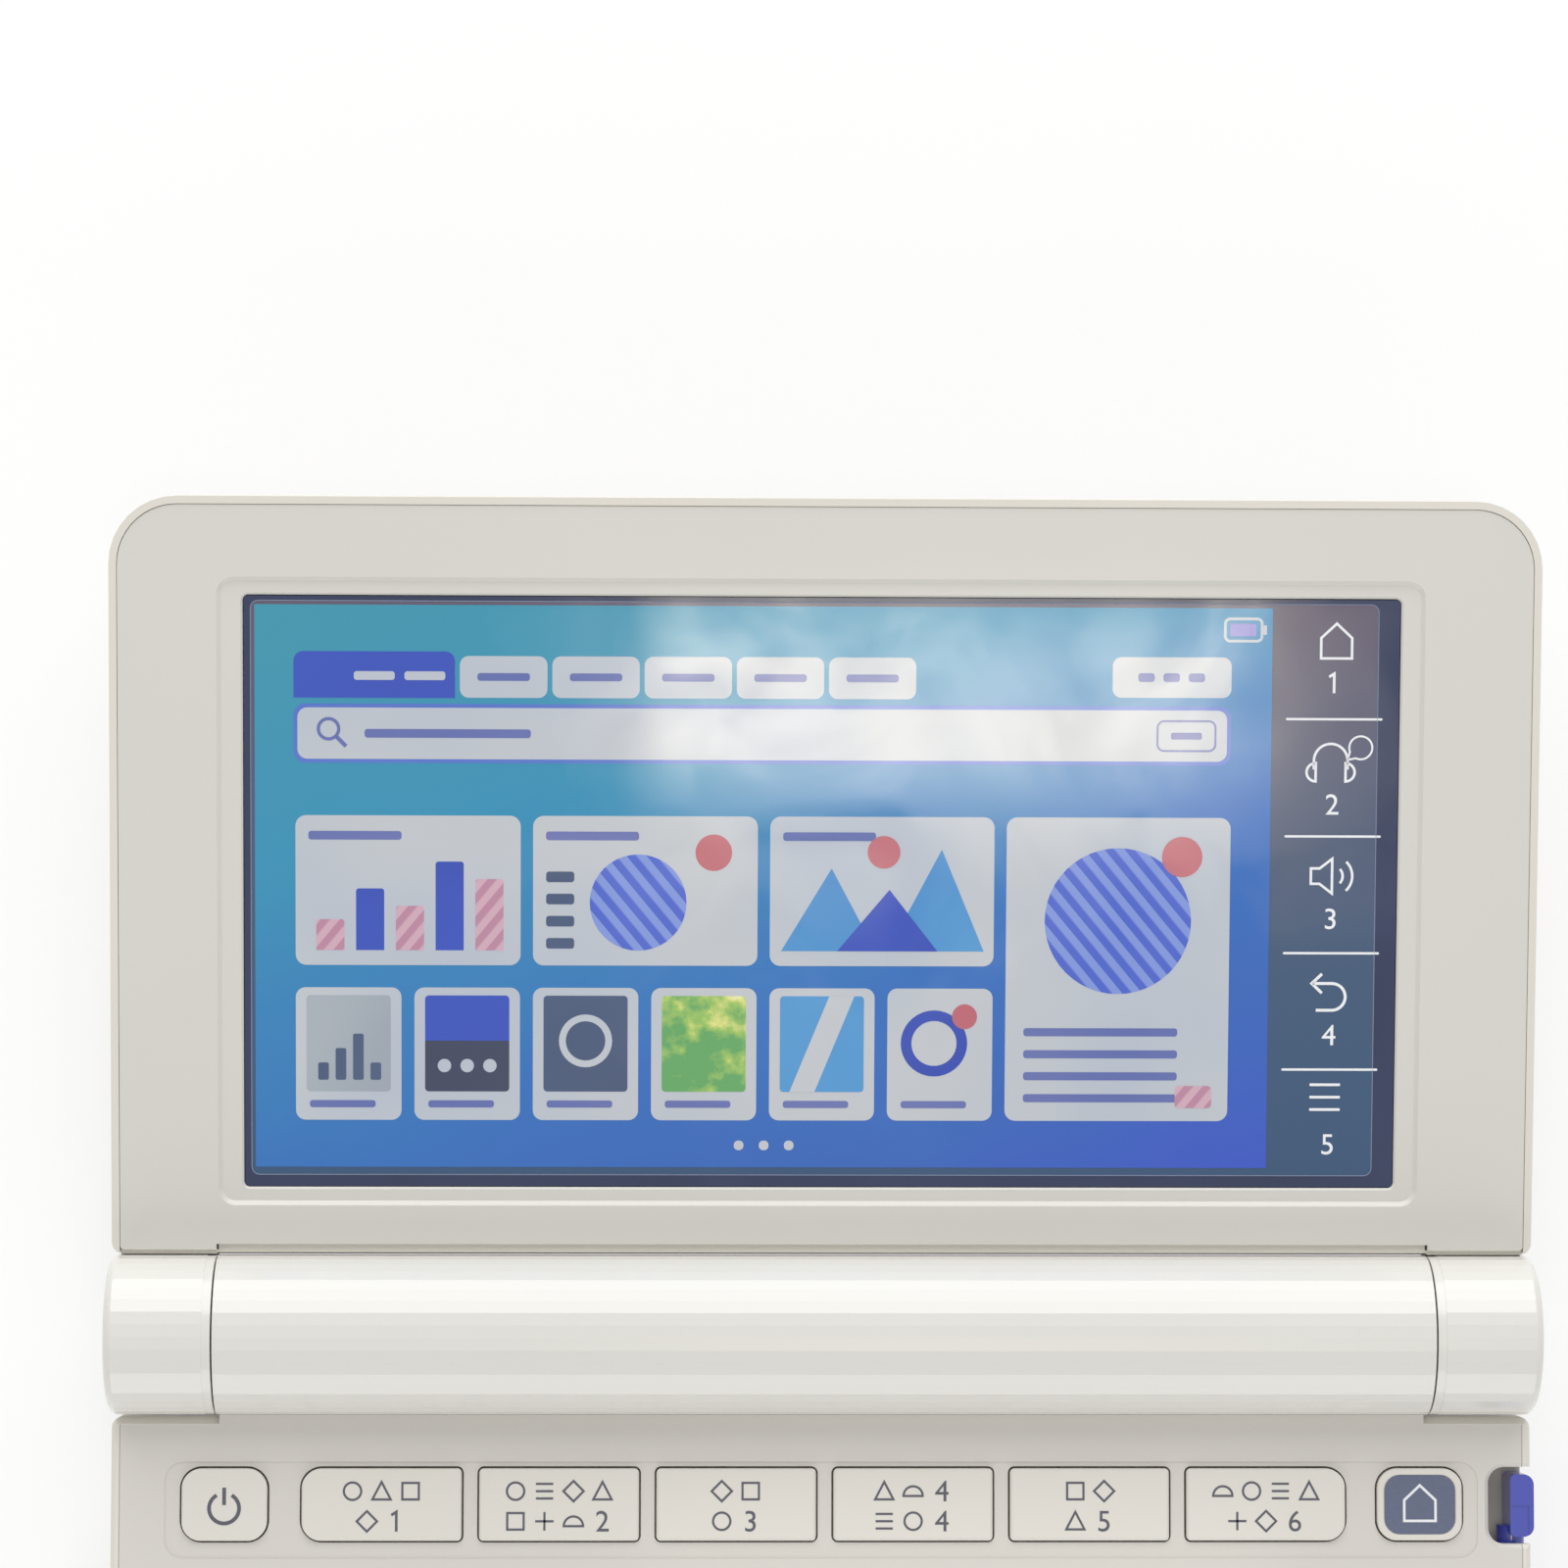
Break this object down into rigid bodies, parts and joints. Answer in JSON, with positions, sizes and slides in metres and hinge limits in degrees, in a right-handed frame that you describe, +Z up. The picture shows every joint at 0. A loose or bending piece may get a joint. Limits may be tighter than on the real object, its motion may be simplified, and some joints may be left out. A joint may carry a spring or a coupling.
{
  "type": "electronic dictionary",
  "caption": "Clamshell electronic dictionary: colour touch screen lid on a fluted barrel hinge, keyboard base with travelling keys, cursor ring, stylus and a battery compartment in the hinge.",
  "frame": {"origin": "on the table plane, straight below the middle of the hinge axis, which is the middle of the open device", "axes": "+X to the reader's right along the hinge, +Y away from the reader towards the lid's far edge, +Z up"},
  "size_m": [0.1482, 0.1734, 0.0206],
  "materials": {
    "cream_plastic": "satin",
    "deck_plastic": "satin",
    "ivory_gloss": "gloss",
    "key_plastic": "satin",
    "home_plastic": "satin",
    "stylus_plastic": "gloss",
    "window_glass": "gloss",
    "panel": "satin",
    "circuit_board": "satin",
    "cell_can": "satin",
    "sheet_steel": "satin",
    "dark_plastic": "matte",
    "grey_rubber": "matte",
    "foot_rubber": "matte"
  },
  "bodies": {
    "base": {"lower_case": "cream_plastic", "upper_case": "deck_plastic", "hinge_barrel": "ivory_gloss", "battery_cells": "cell_can", "battery_contacts": "sheet_steel", "main_board": "circuit_board", "key_mat": "grey_rubber", "speaker": "dark_plastic", "usb_port": "sheet_steel", "headphone_jack": "dark_plastic", "card_slot": "sheet_steel", "rubber_feet": "foot_rubber", "case_screws": "sheet_steel", "hinge_shafts": "sheet_steel"},
    "lid": {"lid_cover": "cream_plastic", "lid_bezel": "deck_plastic", "touch_window": "window_glass", "lcd_panel": "panel", "display_board": "circuit_board", "hinge_knuckles": "ivory_gloss"},
    "battery_cover": {"battery_cover": "cream_plastic"},
    "stylus": {"stylus": "stylus_plastic"},
    "cursor_pad": {"cursor_pad": "grey_rubber"},
    "cursor_ring": {"cursor_ring": "key_plastic"},
    "enter_key": {"enter_key": "key_plastic"},
    "function_keys": {"function_keys": "key_plastic"},
    "power_key": {"power_key": "key_plastic"},
    "home_key": {"home_key": "home_plastic"},
    "direct_key_1": {"direct_key_1": "key_plastic"},
    "direct_key_2": {"direct_key_2": "key_plastic"},
    "direct_key_3": {"direct_key_3": "key_plastic"},
    "direct_key_4": {"direct_key_4": "key_plastic"},
    "direct_key_5": {"direct_key_5": "key_plastic"},
    "direct_key_6": {"direct_key_6": "key_plastic"},
    "letter_q": {"letter_q": "key_plastic"},
    "letter_w": {"letter_w": "key_plastic"},
    "letter_e": {"letter_e": "key_plastic"},
    "letter_r": {"letter_r": "key_plastic"},
    "letter_t": {"letter_t": "key_plastic"},
    "letter_y": {"letter_y": "key_plastic"},
    "letter_u": {"letter_u": "key_plastic"},
    "letter_i": {"letter_i": "key_plastic"},
    "letter_o": {"letter_o": "key_plastic"},
    "letter_p": {"letter_p": "key_plastic"},
    "letter_a": {"letter_a": "key_plastic"},
    "letter_s": {"letter_s": "key_plastic"},
    "letter_d": {"letter_d": "key_plastic"},
    "letter_f": {"letter_f": "key_plastic"},
    "letter_g": {"letter_g": "key_plastic"},
    "letter_h": {"letter_h": "key_plastic"},
    "letter_j": {"letter_j": "key_plastic"},
    "letter_k": {"letter_k": "key_plastic"},
    "letter_l": {"letter_l": "key_plastic"},
    "letter_z": {"letter_z": "key_plastic"},
    "letter_x": {"letter_x": "key_plastic"},
    "letter_c": {"letter_c": "key_plastic"},
    "letter_v": {"letter_v": "key_plastic"},
    "letter_b": {"letter_b": "key_plastic"},
    "letter_n": {"letter_n": "key_plastic"},
    "letter_m": {"letter_m": "key_plastic"}
  },
  "joints": [
    {"name": "lid_hinge", "type": "hinge", "parent": "base", "child": "lid", "pos_m": [0, 0, 0.0085], "axis": [1, 0, 0], "range_deg": [0, 171.8]},
    {"name": "battery_cover_slide", "type": "slide", "parent": "base", "child": "battery_cover", "axis": [0, 0, -1], "range_m": [0, 0.02]},
    {"name": "pen_draw", "type": "slide", "parent": "base", "child": "stylus", "axis": [1, 0, 0], "range_m": [0, 0.015]},
    {"name": "cursor_rock_x", "type": "hinge", "parent": "base", "child": "cursor_pad", "pos_m": [0.0505, -0.06935, 0.0047], "axis": [1, 0, 0], "range_deg": [-1.5, 1.5], "stiffness_Nm_per_rad": 0.4},
    {"name": "cursor_rock_y", "type": "hinge", "parent": "cursor_pad", "child": "cursor_ring", "pos_m": [0.0505, -0.06935, 0.0047], "axis": [0, 1, 0], "range_deg": [-1.5, 1.5], "stiffness_Nm_per_rad": 0.4},
    {"name": "press_power", "type": "slide", "parent": "base", "child": "power_key", "axis": [0, 0, -1], "range_m": [0, 0.0006], "stiffness_N_per_m": 500, "springref_m": -0.0005},
    {"name": "press_home", "type": "slide", "parent": "base", "child": "home_key", "axis": [0, 0, -1], "range_m": [0, 0.0006], "stiffness_N_per_m": 500, "springref_m": -0.0005},
    {"name": "press_direct_1", "type": "slide", "parent": "base", "child": "direct_key_1", "axis": [0, 0, -1], "range_m": [0, 0.0006], "stiffness_N_per_m": 500, "springref_m": -0.0005},
    {"name": "press_direct_2", "type": "slide", "parent": "base", "child": "direct_key_2", "axis": [0, 0, -1], "range_m": [0, 0.0006], "stiffness_N_per_m": 500, "springref_m": -0.0005},
    {"name": "press_direct_3", "type": "slide", "parent": "base", "child": "direct_key_3", "axis": [0, 0, -1], "range_m": [0, 0.0006], "stiffness_N_per_m": 500, "springref_m": -0.0005},
    {"name": "press_direct_4", "type": "slide", "parent": "base", "child": "direct_key_4", "axis": [0, 0, -1], "range_m": [0, 0.0006], "stiffness_N_per_m": 500, "springref_m": -0.0005},
    {"name": "press_direct_5", "type": "slide", "parent": "base", "child": "direct_key_5", "axis": [0, 0, -1], "range_m": [0, 0.0006], "stiffness_N_per_m": 500, "springref_m": -0.0005},
    {"name": "press_direct_6", "type": "slide", "parent": "base", "child": "direct_key_6", "axis": [0, 0, -1], "range_m": [0, 0.0006], "stiffness_N_per_m": 500, "springref_m": -0.0005},
    {"name": "press_enter", "type": "slide", "parent": "base", "child": "enter_key", "axis": [0, 0, -1], "range_m": [0, 0.0006], "stiffness_N_per_m": 500, "springref_m": -0.0005},
    {"name": "press_function_keys", "type": "slide", "parent": "base", "child": "function_keys", "axis": [0, 0, -1], "range_m": [0, 0.0006], "stiffness_N_per_m": 500, "springref_m": -0.0005},
    {"name": "press_q", "type": "slide", "parent": "base", "child": "letter_q", "axis": [0, 0, -1], "range_m": [0, 0.0006], "stiffness_N_per_m": 500, "springref_m": -0.0005},
    {"name": "press_w", "type": "slide", "parent": "base", "child": "letter_w", "axis": [0, 0, -1], "range_m": [0, 0.0006], "stiffness_N_per_m": 500, "springref_m": -0.0005},
    {"name": "press_e", "type": "slide", "parent": "base", "child": "letter_e", "axis": [0, 0, -1], "range_m": [0, 0.0006], "stiffness_N_per_m": 500, "springref_m": -0.0005},
    {"name": "press_r", "type": "slide", "parent": "base", "child": "letter_r", "axis": [0, 0, -1], "range_m": [0, 0.0006], "stiffness_N_per_m": 500, "springref_m": -0.0005},
    {"name": "press_t", "type": "slide", "parent": "base", "child": "letter_t", "axis": [0, 0, -1], "range_m": [0, 0.0006], "stiffness_N_per_m": 500, "springref_m": -0.0005},
    {"name": "press_y", "type": "slide", "parent": "base", "child": "letter_y", "axis": [0, 0, -1], "range_m": [0, 0.0006], "stiffness_N_per_m": 500, "springref_m": -0.0005},
    {"name": "press_u", "type": "slide", "parent": "base", "child": "letter_u", "axis": [0, 0, -1], "range_m": [0, 0.0006], "stiffness_N_per_m": 500, "springref_m": -0.0005},
    {"name": "press_i", "type": "slide", "parent": "base", "child": "letter_i", "axis": [0, 0, -1], "range_m": [0, 0.0006], "stiffness_N_per_m": 500, "springref_m": -0.0005},
    {"name": "press_o", "type": "slide", "parent": "base", "child": "letter_o", "axis": [0, 0, -1], "range_m": [0, 0.0006], "stiffness_N_per_m": 500, "springref_m": -0.0005},
    {"name": "press_p", "type": "slide", "parent": "base", "child": "letter_p", "axis": [0, 0, -1], "range_m": [0, 0.0006], "stiffness_N_per_m": 500, "springref_m": -0.0005},
    {"name": "press_a", "type": "slide", "parent": "base", "child": "letter_a", "axis": [0, 0, -1], "range_m": [0, 0.0006], "stiffness_N_per_m": 500, "springref_m": -0.0005},
    {"name": "press_s", "type": "slide", "parent": "base", "child": "letter_s", "axis": [0, 0, -1], "range_m": [0, 0.0006], "stiffness_N_per_m": 500, "springref_m": -0.0005},
    {"name": "press_d", "type": "slide", "parent": "base", "child": "letter_d", "axis": [0, 0, -1], "range_m": [0, 0.0006], "stiffness_N_per_m": 500, "springref_m": -0.0005},
    {"name": "press_f", "type": "slide", "parent": "base", "child": "letter_f", "axis": [0, 0, -1], "range_m": [0, 0.0006], "stiffness_N_per_m": 500, "springref_m": -0.0005},
    {"name": "press_g", "type": "slide", "parent": "base", "child": "letter_g", "axis": [0, 0, -1], "range_m": [0, 0.0006], "stiffness_N_per_m": 500, "springref_m": -0.0005},
    {"name": "press_h", "type": "slide", "parent": "base", "child": "letter_h", "axis": [0, 0, -1], "range_m": [0, 0.0006], "stiffness_N_per_m": 500, "springref_m": -0.0005},
    {"name": "press_j", "type": "slide", "parent": "base", "child": "letter_j", "axis": [0, 0, -1], "range_m": [0, 0.0006], "stiffness_N_per_m": 500, "springref_m": -0.0005},
    {"name": "press_k", "type": "slide", "parent": "base", "child": "letter_k", "axis": [0, 0, -1], "range_m": [0, 0.0006], "stiffness_N_per_m": 500, "springref_m": -0.0005},
    {"name": "press_l", "type": "slide", "parent": "base", "child": "letter_l", "axis": [0, 0, -1], "range_m": [0, 0.0006], "stiffness_N_per_m": 500, "springref_m": -0.0005},
    {"name": "press_z", "type": "slide", "parent": "base", "child": "letter_z", "axis": [0, 0, -1], "range_m": [0, 0.0006], "stiffness_N_per_m": 500, "springref_m": -0.0005},
    {"name": "press_x", "type": "slide", "parent": "base", "child": "letter_x", "axis": [0, 0, -1], "range_m": [0, 0.0006], "stiffness_N_per_m": 500, "springref_m": -0.0005},
    {"name": "press_c", "type": "slide", "parent": "base", "child": "letter_c", "axis": [0, 0, -1], "range_m": [0, 0.0006], "stiffness_N_per_m": 500, "springref_m": -0.0005},
    {"name": "press_v", "type": "slide", "parent": "base", "child": "letter_v", "axis": [0, 0, -1], "range_m": [0, 0.0006], "stiffness_N_per_m": 500, "springref_m": -0.0005},
    {"name": "press_b", "type": "slide", "parent": "base", "child": "letter_b", "axis": [0, 0, -1], "range_m": [0, 0.0006], "stiffness_N_per_m": 500, "springref_m": -0.0005},
    {"name": "press_n", "type": "slide", "parent": "base", "child": "letter_n", "axis": [0, 0, -1], "range_m": [0, 0.0006], "stiffness_N_per_m": 500, "springref_m": -0.0005},
    {"name": "press_m", "type": "slide", "parent": "base", "child": "letter_m", "axis": [0, 0, -1], "range_m": [0, 0.0006], "stiffness_N_per_m": 500, "springref_m": -0.0005}
  ]
}
